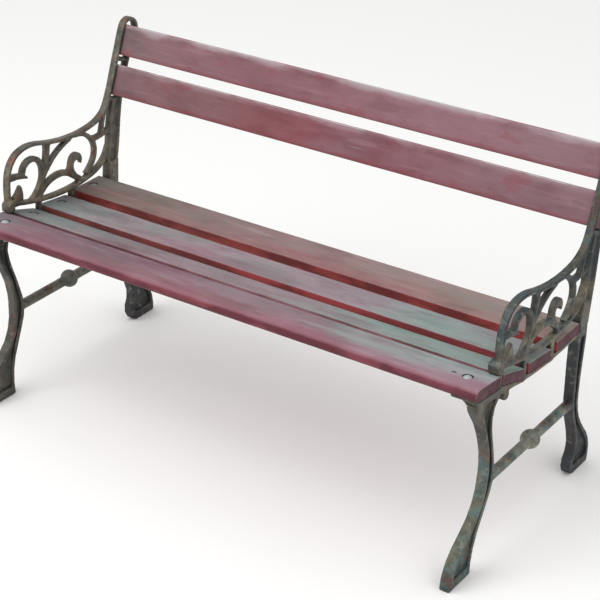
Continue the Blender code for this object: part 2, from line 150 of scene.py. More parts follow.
SCROLLS = {
    "front_ring": ([(196, 403.5), (210, 413), (223, 427), (231, 442), (234, 459), (231.5, 474),
                    (224, 487), (213, 494.5), (200, 497), (187, 493.5), (177.5, 485), (174, 474)],
                   (11, 10, 12)),
    "ring_tie": ([(128, 477), (150, 475), (165, 471.5), (178, 466), (187, 461)], (13, 10.5, 3)),
    "riser": ([(235, 452), (243, 470), (249, 488), (252, 505), (252, 518)], (10, 12, 14)),
    "great_ring_left": ([(229, 436), (238, 449.5), (250, 462), (263, 474), (276, 483), (291, 491),
                         (307, 497.5), (326, 503)], (9, 9, 8)),
    "great_ring_right": ([(336, 505), (360, 501), (379, 491), (392, 478), (399.5, 464),
                          (401, 450), (398, 436), (391, 424), (381, 413), (368, 403)],
                         (8, 9, 10)),
    "sling": ([(214, 402), (226, 414), (240, 424.5), (257, 431.5), (281, 434.3), (301, 431),
               (318, 422.5), (334, 411), (348, 400)], (11, 12, 12)),
    "post_tie": ([(390, 480), (408, 476.5), (425, 478), (442, 480.5), (456, 483)], (10, 10, 12)),
    "corner_tie": ([(424, 476), (427, 490), (431, 505), (436, 520), (443, 536)], (10, 7, 9)),
}
VOLUTE = [
    (306, 426), (314, 439), (316.5, 448), (320.5, 457), (328, 464), (338, 466), (347, 463),
    (353, 457), (355.5, 449), (354.5, 442), (351.5, 435.5), (348, 443), (342, 447.5),
    (336, 448.5), (331, 446), (328.5, 441), (328, 435), (331, 426), (336, 417), (322, 415),
]
LEAF = [
    (134, 410), (139, 430), (147, 436.5), (154, 444), (163, 452.5), (167, 445), (169.3, 434),
    (169.3, 422), (167, 408),
]
SPACERS = {
    "front_neck": [(119.0, 372), (124.4, 372), (132.0, 412), (123.6, 412)],
    "second_spacer": [(208, 349), (219, 349), (223, 400), (214, 400)],
    "third_spacer": [(313, 341), (328, 341), (330, 393), (315, 393)],
}
ARM_FOOT = [(114, 408.5), (129, 407.5), (132.5, 411), (132.5, 433), (122, 431), (116.5, 427.5),
            (114, 424.5)]
ARM_FOOT_WIDE = 24.0
RAIL_UNDER = [(47, 378), (85, 371), (125, 364), (165, 358), (205, 352), (250, 347), (300, 344.2),
              (350, 344.2), (400, 345.5), (438, 347)]
GUSSET_CURVE = [(16, 350), (22, 353), (24.5, 359), (28.5, 367), (36, 374.5), (45, 379.5), (52, 383)]
GUSSET_BACK = [(52, 386), (6, 386), (6, 350)]
GUSSET_DEPTH = (53.0, 66.0)
KNOB_CENTRE = (148.0, 354.0)
KNOB_RADIUS = 11.0

# ---- Slats and fasteners ----

# Front top corner, rear top corner, thickness, and how far from the middle the bolts are.
SEAT_SLATS = {
    "seat_slat_front": ((36, 415), (122, 406), 25.0, 551.0),
    "seat_slat_second": ((134, 404), (212, 379), 22.0, 558.0),
    "seat_slat_third": ((227, 383), (313, 373), 22.0, 568.0),
    "seat_slat_rear": ((334, 377), (424, 378), 22.0, 573.0),
}
LEDGE_WIDE = 58.0
LEDGE_THICK = 6.0
LEDGE_START = 0.13  # Share of the front slat's width that stands out before the ledge.
LEDGE_TAIL = 12.0
SLOPE_LEAST = 6.0  # Flats further apart than this are joined by a slope.
RAIL_WIDE = 12.0
BACK_LEAN = math.radians(21.8)
BACK_FOOT = (464.6, 566.0)
BACK_SLATS = {"back_slat_lower": -7.0, "back_slat_upper": 81.6}  # Lower edge, up from BACK_FOOT.
BACK_SLAT_WIDE = 67.0
BACK_SLAT_THICK = 20.0
BACK_BOLT_X = 548.0
TOP_ROUND = 2.2
LOW_ROUND = 1.2
PLANK_STEPS = 230
PLANK_ENDS = ((0.0, 1.3), (0.7, 0.45), (2.0, 0.0))  # (distance from an end, how far drawn in)
LUG_THICK = 10.0
LUG_HIGH = 34.0
BACK_TIES = (-15.5, 72.5)
STRETCHER_HEIGHT = 184.0
STRETCHER_ENDS = (126.0, 442.0)
STRETCHER_RADIUS = 10.5
BALL_DEPTH = 286.0
BALL_RADIUS = 19.5

BOLT_RADIUS = 4.0
BOLT_HOLE_RADIUS = 4.6
HEAD_RADIUS = 10.0
HEAD_HIGH = 4.6
HEAD_SUNK = 2.6
WORN_HEAD_HIGH = 2.9
PAINTED_HEAD_HIGH = 2.3
PAINTED_CROWN = 0.3
PAINTED_HEAD_GAP = 0.06
HEAD_GAP = 0.15
FRONT_HEAD_RADIUS = 9.4
WASHER_RADIUS = 9.0
WASHER_THICK = 1.8
NUT_ACROSS = 13.0
NUT_HIGH = 6.5
BOLT_TAIL = 4.0
THREAD_PITCH = 1.25

TURN_STEPS = 48
HOLE_CUTTER = 120.0  # Long enough to pass through a slat and its ledge.
SECTION_SPACING = 3.0
VOXEL = 1.7 * MM
CASTING_FACES = 90_000


# ---- Side-view geometry, in millimetres ----


def flow(points, steps=6):
    """A smooth line through points, as a Catmull-Rom curve with this many steps a span."""
    line = [Vector(p) for p in points]
    line = [2 * line[0] - line[1], *line, 2 * line[-1] - line[-2]]
    out = []
    for a, b, c, d in zip(line, line[1:], line[2:], line[3:]):
        for i in range(steps):
            t = i / steps
            out.append(0.5 * (2 * b + (c - a) * t + (2 * a - 5 * b + 4 * c - d) * t * t
                              + (3 * b - a - 3 * c + d) * t ** 3))
    out.append(line[-2])
    return out


def ribbon(centre, widths):
    """Closed outline of a band along a centre line; widths are at its start, middle and end."""
    start, middle, end = widths
    left, right = [], []
    last = len(centre) - 1
    for i, point in enumerate(centre):
        along = (centre[min(i + 1, last)] - centre[max(i - 1, 0)]).normalized()
        across = Vector((-along.y, along.x))
        t = 2 * i / last
        wide = start + (middle - start) * t if t < 1 else middle + (end - middle) * (t - 1)
        left.append(point + across * wide / 2)
        right.append(point - across * wide / 2)
    return left + right[::-1]


def arc(centre, radius, begin, end, steps):
    """Points along an arc, with angles in degrees from the rearward direction up."""
    out = []
    for i in range(steps + 1):
        turn = math.radians(begin + (end - begin) * i / steps)
        out.append(Vector(centre) + radius * Vector((math.cos(turn), math.sin(turn))))
    return out


def back_point(along, behind):
    """A point of the back: along it from BACK_FOOT, and behind the slats' front faces."""
    up = Vector((math.sin(BACK_LEAN), math.cos(BACK_LEAN)))
    rear = Vector((up.y, -up.x))
    return Vector(BACK_FOOT) + up * along + rear * behind


def slat_frame(name):
    """Front top corner, direction across, outward normal, width and thickness of a slat."""
    if name in SEAT_SLATS:
        front, rear, thick, _ = SEAT_SLATS[name]
        front, rear = Vector(front), Vector(rear)
        along = (rear - front).normalized()
        return front, along, Vector((-along.y, along.x)), (rear - front).length, thick
    corner = back_point(BACK_SLATS[name], 0)
    along = (back_point(BACK_SLATS[name] + 1, 0) - corner).normalized()
    return corner, along, Vector((-along.y, along.x)), BACK_SLAT_WIDE, BACK_SLAT_THICK


def ledge_line():
    """Top of the ledge: flat under each slat, with a slope or a corner between two of them."""
    flats = []
    for name in SEAT_SLATS:
        corner, along, normal, wide, thick = slat_frame(name)
        low = corner - normal * (thick + GAP)
        flats.append((low, low + along * wide))
    line = [flats[0][0] + (flats[0][1] - flats[0][0]) * LEDGE_START]
    for (_, end), (begin, _) in zip(flats, flats[1:]):
        line += [end, begin] if begin.x - end.x > SLOPE_LEAST else [(end + begin) / 2]
    return line + [flats[-1][1] + Vector((LEDGE_TAIL, 0))]


# ---- Meshes, in metres ----


def world(depth, height, x=0.0):
    return Vector((x * MM, (depth + FRONT_TIP) * MM, height * MM))


def link(thing):
    bpy.context.scene.collection.objects.link(thing)
    return thing


def applied(thing):
    """The object with its modifiers applied and its matrix in its mesh. The source is removed."""
    bpy.context.view_layer.update()
    graph = bpy.context.evaluated_depsgraph_get()
    mesh = bpy.data.meshes.new_from_object(thing.evaluated_get(graph))
    mesh.transform(thing.matrix_world)
    bpy.data.objects.remove(thing, do_unlink=True)
    return link(bpy.data.objects.new("piece", mesh))


def welded(thing):
    shape = bmesh.new()
    shape.from_mesh(thing.data)
    bmesh.ops.remove_doubles(shape, verts=shape.verts, dist=1e-6)
    bmesh.ops.recalc_face_normals(shape, faces=shape.faces)
    shape.to_mesh(thing.data)
    shape.free()
    return thing


def extruded(points, thick, placing, soften):
    """A flat outline given this thickness, its edges rounded by soften, then placed."""
    data = bpy.data.curves.new("outline", "CURVE")
    data.dimensions = "2D"
    data.fill_mode = "BOTH"
    data.extrude = thick / 2 - soften
    data.bevel_depth = soften
    data.bevel_resolution = 2
    data.offset = -soften
    spline = data.splines.new("POLY")
    spline.points.add(len(points) - 1)
    for point, (across, up) in zip(spline.points, points):
        point.co = (across, up, 0.0, 1.0)
    spline.use_cyclic_u = True
    curve = link(bpy.data.objects.new("outline", data))
    curve.matrix_world = placing
    return welded(applied(curve))


def slab(outline, x_low, x_high, soften):
    """A side-view outline filled between two values of X."""
    points = [world(depth, height).yz for depth, height in outline]
    middle = (x_low + x_high) / 2 * MM
    placing = Matrix(((0, 0, 1, middle), (1, 0, 0, 0), (0, 1, 0, 0), (0, 0, 0, 1)))
    return extruded(points, (x_high - x_low) * MM, placing, soften * MM)


def front_slab(outline, near, far, soften):
    """A front-view outline, of (X, height), filled between two depths."""
    points = [world(0, height, x).xz for x, height in outline]
    middle = world((near + far) / 2, 0).y
    placing = Matrix(((1, 0, 0, 0), (0, 0, -1, middle), (0, 1, 0, 0), (0, 0, 0, 1)))
    return extruded(points, (far - near) * MM, placing, soften * MM)


def modify(thing, kind, **settings):
    step = thing.modifiers.new(kind.lower(), kind)
    for key, value in settings.items():
        setattr(step, key, value)
    return step


def joined(things, name):
    """One mesh holding all the pieces, which are used up."""
    shape = bmesh.new()
    for thing in things:
        shape.from_mesh(thing.data)
        bpy.data.objects.remove(thing, do_unlink=True)
    mesh = bpy.data.meshes.new(name)
    shape.to_mesh(mesh)
    shape.free()
    return link(bpy.data.objects.new(name, mesh))


def cut(thing, cutters):
    """The object with the cutters, which are used up, taken out of it."""
    for cutter in cutters:
        modify(thing, "BOOLEAN", operation="DIFFERENCE", object=cutter)
    result = applied(thing)
    for cutter in cutters:
        bpy.data.objects.remove(cutter, do_unlink=True)
    return result


def facing(direction):
    return Vector((0, 0, 1)).rotation_difference(direction).to_matrix().to_4x4()


def rod(centre, direction, radius, length, sides=TURN_STEPS):
    bpy.ops.mesh.primitive_cylinder_add(vertices=sides, radius=radius * MM, depth=length * MM)
    made = bpy.context.object
    made.matrix_world = Matrix.Translation(centre) @ facing(direction)
    return applied(made)


def turned(profile, at, direction):
    """A solid of revolution from a profile of (radius, height), top down, in millimetres."""
    mesh = bpy.data.meshes.new("profile")
    points = [(radius * MM, 0.0, height * MM) for radius, height in profile]
    mesh.from_pydata(points, [(i, i + 1) for i in range(len(points) - 1)], [])
    made = link(bpy.data.objects.new("profile", mesh))
    modify(made, "SCREW", steps=TURN_STEPS, render_steps=TURN_STEPS, use_merge_vertices=True,
           merge_threshold=0.00001)
    made.matrix_world = Matrix.Translation(at) @ facing(direction)
    return welded(applied(made))


# ---- End castings ----


def strap_outline():
    """The band that is armrest, front of the back, rounded top and rear of the back."""
    cap = arc(CAP_CENTRE, CAP_RADIUS, 155, -15, 16)
    return ribbon(flow(ARMREST)[:-1] + cap + flow(REAR_STRAP), STRAP_THICK)


def lowered(line, by):
    return [p - Vector((0, by)) for p in line]


def back_block(along, high, front, rear):
    """A block on the back's line: this high about a point along it, and from front to rear."""
    low, top = along - high / 2, along + high / 2
    return [back_point(low, front), back_point(top, front), back_point(top, rear),
            back_point(low, rear)]


def casting_members():
    """(outline, inset of the outer face, width, edge rounding) of each member of a casting."""
    ledge = ledge_line()
    yield ledge + lowered(ledge[::-1], LEDGE_THICK), 0.0, LEDGE_WIDE, 0.8
    yield lowered(ledge, 1.5) + flow(RAIL_UNDER)[::-1], 1.6, RAIL_WIDE, 1.5
    yield strap_outline(), 0.4, STRAP_WIDE, 1.6
    yield ribbon(flow(LOWER_BAR), BAR_THICK), 1.0, BAR_WIDE, 2.2
    yield ribbon(flow(POST_FLANGE), FLANGE_THICK), 1.6, FLANGE_WIDE, 1.6
    yield POST_WEB, 5.0, WEB_WIDE, 0.6
    for i, (points, widths) in enumerate(SCROLLS.values()):
        fuller = [wide + SCROLL_EXTRA for wide in widths]
        yield ribbon(flow(points), fuller), 2.4 + 0.15 * i, SCROLL_WIDE, 1.8
    yield flow(VOLUTE), 3.9, SCROLL_WIDE, 1.8
    yield flow(LEAF), 4.1, LEAF_WIDE, 1.8
    for i, outline in enumerate(SPACERS.values()):
        yield outline, 1.9 + 0.15 * i, SPACER_WIDE, 0.8
    yield ARM_FOOT, 1.3, ARM_FOOT_WIDE, 1.6
    yield arc(KNOB_CENTRE, KNOB_RADIUS, 0, 345, 23), 0.6, LEG_WIDE - 3, 3.5
    for i, along in enumerate(BACK_TIES):
        yield back_block(along, TIE_HIGH, *TIE_REACH), 2.2 + 0.2 * i, TIE_WIDE, 1.0
    behind = BACK_SLAT_THICK + GAP
    for i, foot in enumerate(BACK_SLATS.values()):
        lug = back_block(foot + BACK_SLAT_WIDE / 2, LUG_HIGH, behind, behind + LUG_THICK)
        yield lug, 2.8 + 0.2 * i, LEDGE_WIDE, 1.0


def leg(outline, panel, inset):
    """A leg with a recessed panel on both sides, so that its section is an I."""
    def plate(shape, low, high, soften):
        return slab(shape, HALF - high, HALF - low, soften)

    body = plate(outline, inset, inset + LEG_WIDE, 1.6)
    panels = [plate(panel, inset - 3, inset + PANEL_DEEP, 0.0),
              plate(panel, inset + LEG_WIDE - PANEL_DEEP, inset + LEG_WIDE + 3, 0.0)]
    return cut(body, panels)


def stretcher():
    """The bar between the front and the rear leg, and the ball half way along it."""
    x = HALF - LEG_WIDE / 2
    start, end = STRETCHER_ENDS
    forward = Vector((0, 1, 0))
    yield rod(world((start + end) / 2, STRETCHER_HEIGHT, x), forward, STRETCHER_RADIUS, end - start)
    centre = world(BALL_DEPTH, STRETCHER_HEIGHT, x)
    dome = [(BALL_RADIUS * math.sin(math.pi * i / 24), BALL_RADIUS * math.cos(math.pi * i / 24))
            for i in range(25)]
    yield turned(dome, centre, forward)


def bolt_places():
    """(point on the slat's face, direction out of it, side, slat, what it clamps) of each bolt."""
    for name in (*SEAT_SLATS, *BACK_SLATS):
        corner, along, normal, wide, thick = slat_frame(name)
        at = corner + along * wide / 2
        out = Vector((0, normal.x, normal.y))
        across = SEAT_SLATS[name][3] if name in SEAT_SLATS else BACK_BOLT_X
        under = LEDGE_THICK if name in SEAT_SLATS else LUG_THICK
        for side in (-1, 1):
            yield world(at.x, at.y, side * across), out, side, name, thick + GAP + under


def casting_mesh():
    """The right-hand casting: its members fused, their edges softened as sand casting leaves them."""
    members = [slab(outline, HALF - inset - wide, HALF - inset, soften)
               for outline, inset, wide, soften in casting_members()]
    gusset = [(HALF - inset, height) for inset, height in (*flow(GUSSET_CURVE), *GUSSET_BACK)]
    members.append(front_slab(gusset, *GUSSET_DEPTH, 1.5))
    members.append(leg(FRONT_LEG, FRONT_LEG_PANEL, 0.8))
    members.append(leg(REAR_LEG, REAR_LEG_PANEL, 1.2))
    members.extend(stretcher())
    body = joined(members, "casting")
    modify(body, "REMESH", mode="VOXEL", voxel_size=VOXEL)
    modify(body, "SMOOTH", factor=0.5, iterations=5)
    body = applied(body)
    holes = [rod(at, out, BOLT_HOLE_RADIUS, HOLE_CUTTER, 24) for at, out, side, _, _ in bolt_places()
             if side > 0]
    body = cut(body, holes)
    share = min(1.0, CASTING_FACES / max(1, len(body.data.polygons) * 2))
    modify(body, "DECIMATE", ratio=share)
    body = applied(body)
    mesh = body.data
    bpy.data.objects.remove(body, do_unlink=True)
    return mesh


def lean(mesh, side, box):
    """Mirrors the casting to its side, draws its feet in, and keeps it inside its box."""
    co = np.empty(len(mesh.vertices) * 3)
    mesh.vertices.foreach_get("co", co)
    co = co.reshape(-1, 3)
    below = np.clip(1 - co[:, 2] / (LEAN_BELOW * MM), 0, None)
    co[:, 0] = side * (co[:, 0] - LEG_LEAN_IN * MM * below)
    co = np.clip(co, np.array(box[0]), np.array(box[1]))
    mesh.vertices.foreach_set("co", co.ravel())
    if side < 0:
        mesh.flip_normals()
    mesh.update()


# ---- Slats ----


def section(name):
    """A slat's section as (across, depth below its face), its edges rounded, evenly divided."""
    _, _, _, wide, thick = slat_frame(name)
    bullnose = name == "seat_slat_front"
    front = thick / 2 - 0.01 if bullnose else TOP_ROUND
    low = front if bullnose else LOW_ROUND
    corners = ((front, front, 180, 90), (wide - TOP_ROUND, TOP_ROUND, 90, 0),
               (wide - LOW_ROUND, thick - LOW_ROUND, 0, -90), (low, thick - low, -90, -180))
    points = []
    for (across, down, begin, end), radius in zip(corners, (front, TOP_ROUND, LOW_ROUND, low)):
        for p in arc((0, 0), radius, begin, end, 8 if radius > 4 else 4):
            points.append(Vector((across + p.x, down - p.y)))
    out = []
    for a, b in zip(points, points[1:] + points[:1]):
        steps = max(1, round((b - a).length / SECTION_SPACING))
        if (b - a).length > 0.05:
            out.extend(a + (b - a) * i / steps for i in range(steps))
    return out


def plank(name, seed):
    """A slat as a board with worn edges: its surface only ever lies inside the sound board's."""
    corner, along, normal, wide, thick = slat_frame(name)
    ring = section(name)
    inner = [-HALF + 2 * HALF * i / PLANK_STEPS for i in range(1, PLANK_STEPS)]
    begins = [(-HALF + away, drawn) for away, drawn in PLANK_ENDS]
    ends = [(HALF - away, drawn) for away, drawn in PLANK_ENDS[::-1]]
    stations = [*begins, *[(x, 0.0) for x in inner], *ends]
    middle = Vector((wide / 2, thick / 2))
    shape = bmesh.new()
    rows = []
    for x, end_inset in stations:
        row = []
        for p in ring:
            inward = (middle - p)
            inward = Vector((inward.x / wide, inward.y / thick)).normalized()
            edge = max(0.0, 1 - min(p.x, wide - p.x) / 6) * max(0.0, 1 - min(p.y, thick - p.y) / 6)
            chip = noise.noise((x * 0.012 + seed, p.x * 0.05, p.y * 0.05)) * 0.5 + 0.5
            fine = noise.noise((x * 0.06 + seed, p.x * 0.2, p.y * 0.2)) * 0.5 + 0.5
            ridge = noise.noise((x * 0.004 + seed, p.x * 0.35, p.y * 0.35)) * 0.5 + 0.5
            wear = edge * (0.25 + 1.0 * chip ** 2 + 0.5 * fine) + 0.22 * ridge ** 2 + end_inset
            q = p + inward * wear
            at = corner + along * q.x - normal * q.y
            row.append(shape.verts.new(world(at.x, at.y, x)))
        rows.append(row)
    count = len(ring)
    for near, far in zip(rows, rows[1:]):
        for i in range(count):
            j = (i + 1) % count
            shape.faces.new((near[i], near[j], far[j], far[i]))
    shape.faces.new(rows[0][::-1])
    shape.faces.new(rows[-1])
    bmesh.ops.recalc_face_normals(shape, faces=shape.faces)
    mesh = bpy.data.meshes.new(name)
    shape.to_mesh(mesh)
    shape.free()
    board = link(bpy.data.objects.new(name, mesh))
    cutters = []
    for at, out, _, owner, _ in bolt_places():
        if owner == name:
            cutters.append(rod(at, out, BOLT_HOLE_RADIUS, HOLE_CUTTER, 32))
            recess = HEAD_RADIUS + (PAINTED_HEAD_GAP if name in BACK_SLATS else HEAD_GAP)
            cutters.append(rod(at, out, recess, 2 * HEAD_SUNK))
    return cut(board, cutters)


# ---- Fasteners ----


def bolt(at, out, clamped, high, crown, radius):
    """A bolt whose head is this high; its crown is domed and the rest of it is a disc."""
    ball = (radius ** 2 + crown ** 2) / (2 * crown)
    rim = math.asin(radius / ball)
    base = GAP - HEAD_SUNK
    dome = [(ball * math.sin(rim * i / 10), base + high - ball * (1 - math.cos(rim * i / 10)))
            for i in range(10)]
    side = base + high - crown
    edge = [(radius - 0.15, side + 0.03 * crown), (radius, side), (radius - 0.2, base)]
    tail = -(clamped + 3 * GAP + WASHER_THICK + NUT_HIGH + BOLT_TAIL)
    profile = dome + edge + [(BOLT_RADIUS, base)]
    thread = -(clamped + GAP)
    profile.append((BOLT_RADIUS, thread))
    turns = int((thread - tail - 1.0) / THREAD_PITCH)
    for i in range(turns):
        top = thread - THREAD_PITCH * i
        profile += [(BOLT_RADIUS - 0.6, top - 0.6), (BOLT_RADIUS, top - 1.2)]
    profile += [(BOLT_RADIUS - 1, tail), (0.0, tail)]
    return turned(profile, at, out)


def washer(at, out, clamped):
    top = -(clamped + GAP)
    low = top - WASHER_THICK
    hole, rim = BOLT_HOLE_RADIUS, WASHER_RADIUS
    profile = [(hole, top), (rim - 0.4, top), (rim, top - 0.4), (rim, low + 0.4), (rim - 0.4, low),
               (hole, low), (hole, top)]
    return turned(profile, at, out)


def nut(at, out, clamped):
    middle = -(clamped + 2 * GAP + WASHER_THICK + NUT_HIGH / 2)
    body = rod(at + out * middle * MM, out, NUT_ACROSS / math.sqrt(3), NUT_HIGH, 6)
    modify(body, "BEVEL", width=0.5 * MM, segments=2)
    body = applied(body)
    return cut(body, [rod(at + out * middle * MM, out, BOLT_HOLE_RADIUS, 3 * NUT_HIGH, 32)])


# ---- Materials ----


class Paint:
    """A material's nodes, made by short calls. Places are in metres in the bench's frame."""

    def __init__(self, name):
        self.material = bpy.data.materials.new(name)
        self.material.use_nodes = True
        self.tree = self.material.node_tree
        self.shader = self.tree.nodes["Principled BSDF"]
        self.place = self.node("ShaderNodeTexCoord").outputs["Object"]

    def node(self, kind, inputs=(), **settings):
        made = self.tree.nodes.new(kind)
        for key, value in settings.items():
            setattr(made, key, value)
        for key, value in dict(inputs).items():
            self.feed(made.inputs[key], value)
        return made

    def feed(self, socket, value):
        if isinstance(value, bpy.types.NodeSocket):
            self.tree.links.new(value, socket)
        elif isinstance(value, tuple) and len(value) == 3 and socket.type == "RGBA":
            socket.default_value = (*value, 1.0)
        else:
            socket.default_value = value

    def math(self, operation, a, b=0.0):
        return self.node("ShaderNodeMath", {0: a, 1: b}, operation=operation).outputs[0]

    def plus(self, a, b):
        return self.math("ADD", a, b)

    def minus(self, a, b):
        return self.math("SUBTRACT", a, b)

    def times(self, a, b):
        return self.math("MULTIPLY", a, b)

    def geometry(self, output):
        return self.node("ShaderNodeNewGeometry").outputs[output]

    def noise(self, scale, detail, rough, shift=(0.0, 0.0, 0.0), warp=0.0):
        """Noise with this many cells a metre along X, Y and Z, from 0 to 1."""
        place = self.node("ShaderNodeMapping", {"Vector": self.place, "Scale": scale,
                                                "Location": shift}).outputs[0]
        made = self.node("ShaderNodeTexNoise", {"Vector": place, "Scale": 1.0, "Detail": detail,
                                                "Roughness": rough, "Distortion": warp})
        return made.outputs["Fac"]

    def along(self, origin, direction, length):
        """How far a point lies along a direction from origin, as a share of length."""
        d = Vector(direction).normalized()
        away = self.node("ShaderNodeVectorMath", {0: self.place, 1: tuple(d)},
                         operation="DOT_PRODUCT").outputs["Value"]
        share = {0: away, 1: 1.0 / length, 2: -d.dot(Vector(origin)) / length}
        return self.node("ShaderNodeMath", share, operation="MULTIPLY_ADD").outputs[0]

    def zone(self, axis, low, high, soft=0.02):
        """1 where a coordinate along an axis lies between two values, fading out over soft."""
        away = self.along(ORIGIN, axis, 1.0)
        return self.times(self.steps(away, low - soft, low + soft),
                          self.steps(away, high + soft, high - soft))

    def steps(self, value, low, high, to_low=0.0, to_high=1.0):
        """An eased change from to_low to to_high as the value goes from low to high."""
        made = self.node("ShaderNodeMapRange", {"Value": value, "From Min": low, "From Max": high,
                                                "To Min": to_low, "To Max": to_high},
                         interpolation_type="SMOOTHSTEP")
        return made.outputs["Result"]

    def ramp(self, value, stops):
        """A colour by value; stops are (position, colour)."""
        made = self.node("ShaderNodeValToRGB", {"Fac": value})
        elements = made.color_ramp.elements
        while len(elements) < len(stops):
            elements.new(0.5)
        for element, (position, colour) in zip(elements, stops):
            element.position = position
            element.color = (*colour, 1.0)
        return made.outputs["Color"]

    def mix(self, share, a, b, blend="MIX"):
        """A where the share is 0 and b where it's 1."""
        made = self.node("ShaderNodeMix", data_type="RGBA", blend_type=blend)
        self.feed(made.inputs[0], share)
        self.feed(made.inputs[6], a)
        self.feed(made.inputs[7], b)
        return made.outputs[2]

    def bump(self, height, distance, strength, under=None):
        inputs = {"Height": height, "Distance": distance, "Strength": strength}
        if under is not None:
            inputs["Normal"] = under
        return self.node("ShaderNodeBump", inputs).outputs["Normal"]

    def finish(self, colour, roughness, normal, metallic=0.0):
        self.feed(self.shader.inputs["Base Color"], colour)
        self.feed(self.shader.inputs["Roughness"], roughness)
        if normal is not None:
            self.feed(self.shader.inputs["Normal"], normal)
        self.feed(self.shader.inputs["Metallic"], metallic)
        return self.material


def rgb(r, g, b):
    """A display colour, 0 to 255, as the linear colour that a shader takes."""
    return tuple(((c / 255 + 0.055) / 1.055) ** 2.4 if c > 10 else c / 3294.6 for c in (r, g, b))


# Layers on the iron: noise cells a metre, detail, shift, start and full, strength, display colour.
IRON_BLOTCHES = (
    (19, 5, (11, 5, 2), (0.53, 0.64), 0.85, (106, 66, 52)),  # Rust.
    (75, 4, (2, 8, 5), (0.58, 0.70), 0.55, (128, 116, 84)),  # Ochre stains.
    (260, 3, (1, 9, 4), (0.60, 0.70), 0.5, (150, 152, 140)),  # Pale specks.
    (210, 3, (6, 2, 4), (0.40, 0.30), 0.6, (34, 36, 34)),  # Dark pits.
)


def iron():
    """Green-black paint on cast iron, worn to teal and olive, with rust, bright edges, stains and
    painted shade in its recesses, and painted shade under the seat and on the right armrest's sides.
    """
    p = Paint("weathered_iron")
    side = p.steps(p.along(ORIGIN, RIGHT, 1.0), -0.2, 0.2)
    broad = p.noise((11, 11, 11), 4, 0.62, (0.3, 0, 0))
    patch = p.noise((30, 30, 30), 5, 0.66, (3, 1, 7))
    grit = p.noise((520, 520, 520), 3, 0.7)

    # The left casting is browner, the right one teal and olive, and the stretchers are paler.
    brown = p.ramp(broad, [(0.30, rgb(72, 70, 62)), (0.50, rgb(94, 86, 76)),
                           (0.70, rgb(104, 94, 80))])
    olive = p.ramp(broad, [(0.30, rgb(58, 70, 70)), (0.44, rgb(78, 94, 92)), (0.56, rgb(98, 98, 80)),
                           (0.70, rgb(92, 82, 72))])
    colour = p.mix(side, brown, olive)
    bar = p.times(p.zone(REARWARD, -0.145, 0.14), p.zone(UP, 0.155, 0.212, 0.004))
    colour = p.mix(p.times(bar, 0.7), colour, rgb(132, 132, 116))
    teal = p.times(p.steps(patch, 0.50, 0.62), p.steps(side, 0.0, 1.0, 0.35, 0.75))
    colour = p.mix(teal, colour, rgb(74, 110, 112))
    for cells, detail, shift, (begin, full), strength, tint in IRON_BLOTCHES:
        found = p.steps(p.noise((cells, cells, cells), detail, 0.7, shift), begin, full)
        colour = p.mix(p.times(found, strength), colour, rgb(*tint))

    # Edges are rubbed bright, and rosier just under the seat.
    edge = p.geometry("Pointiness")
    worn = p.steps(p.plus(edge, p.times(patch, 0.05)), 0.545, 0.62)
    bright = p.mix(p.zone(UP, 0.34, 0.40), rgb(156, 154, 136), rgb(176, 156, 144))
    colour = p.mix(p.times(worn, 0.75), colour, bright)

    # Painted shade under the seat: the rear legs are darkened to near navy, and the tops of the front
    # legs to near black.
    navy_under_seat_shade = p.times(p.zone(REARWARD, 0.135, 0.40), p.zone(UP, -0.1, 0.37))
    colour = p.mix(p.times(navy_under_seat_shade, 0.86), colour, rgb(38, 40, 50))
    # Painted shade on the front legs' tops, under the seat.
    top = p.times(p.zone(REARWARD, -0.30, -0.13), p.zone(UP, 0.27, 0.39))
    colour = p.mix(p.times(top, 0.80), colour, rgb(40, 40, 38))

    # The right arm is darkened, above all on its flat sides that face along X: painted shade.
    arm_side_shade = p.times(side, p.zone(UP, 0.40, 0.75))
    outward = p.node("ShaderNodeSeparateXYZ", {0: p.geometry("Normal")})
    sideways = p.math("ABSOLUTE", outward.outputs["X"])
    arm_side_shade = p.times(arm_side_shade, p.steps(sideways, 0.2, 0.8, 0.45, 0.95))
    colour = p.mix(arm_side_shade, colour, rgb(36, 42, 46))

    # Tan patches at the height of the seat, and a darker left casting below it.
    low = p.times(p.zone(UP, 0.34, 0.46), p.steps(patch, 0.40, 0.60))
    colour = p.mix(p.times(low, 0.6), colour, rgb(128, 112, 88))
    left = p.times(p.minus(1.0, side), p.zone(UP, -0.1, 0.37))
    colour = p.mix(p.times(left, 0.36), colour, rgb(40, 42, 40))

    # Mottling over all of it, and grime with painted shade in the corners and hollows, found by
    # ambient occlusion and low pointiness.
    mottle = p.steps(p.noise((46, 46, 46), 4, 0.65, (5, 3, 8)), 0.56, 0.40, 0.0, 0.5)
    colour = p.mix(mottle, colour, rgb(38, 42, 42))
    lighter = p.steps(p.noise((64, 64, 64), 4, 0.65, (9, 4, 1)), 0.55, 0.68, 0.0, 0.4)
    colour = p.mix(lighter, colour, rgb(142, 142, 126))
    open_air = p.node("ShaderNodeAmbientOcclusion", {"Distance": 0.03}, samples=8).outputs["AO"]
    grime_and_shade = p.math("MAXIMUM", p.steps(open_air, 0.85, 0.30), p.steps(edge, 0.49, 0.43))
    colour = p.mix(p.times(grime_and_shade, 0.9), colour, rgb(20, 22, 22))
    rough = p.steps(patch, 0.3, 0.7, 0.40, 0.70)
    pitted = p.bump(grit, 0.0007, 0.45)
    pitted = p.bump(p.noise((110, 110, 110), 4, 0.6), 0.0014, 0.6, pitted)
    return p.finish(colour, rough, pitted, metallic=0.2)
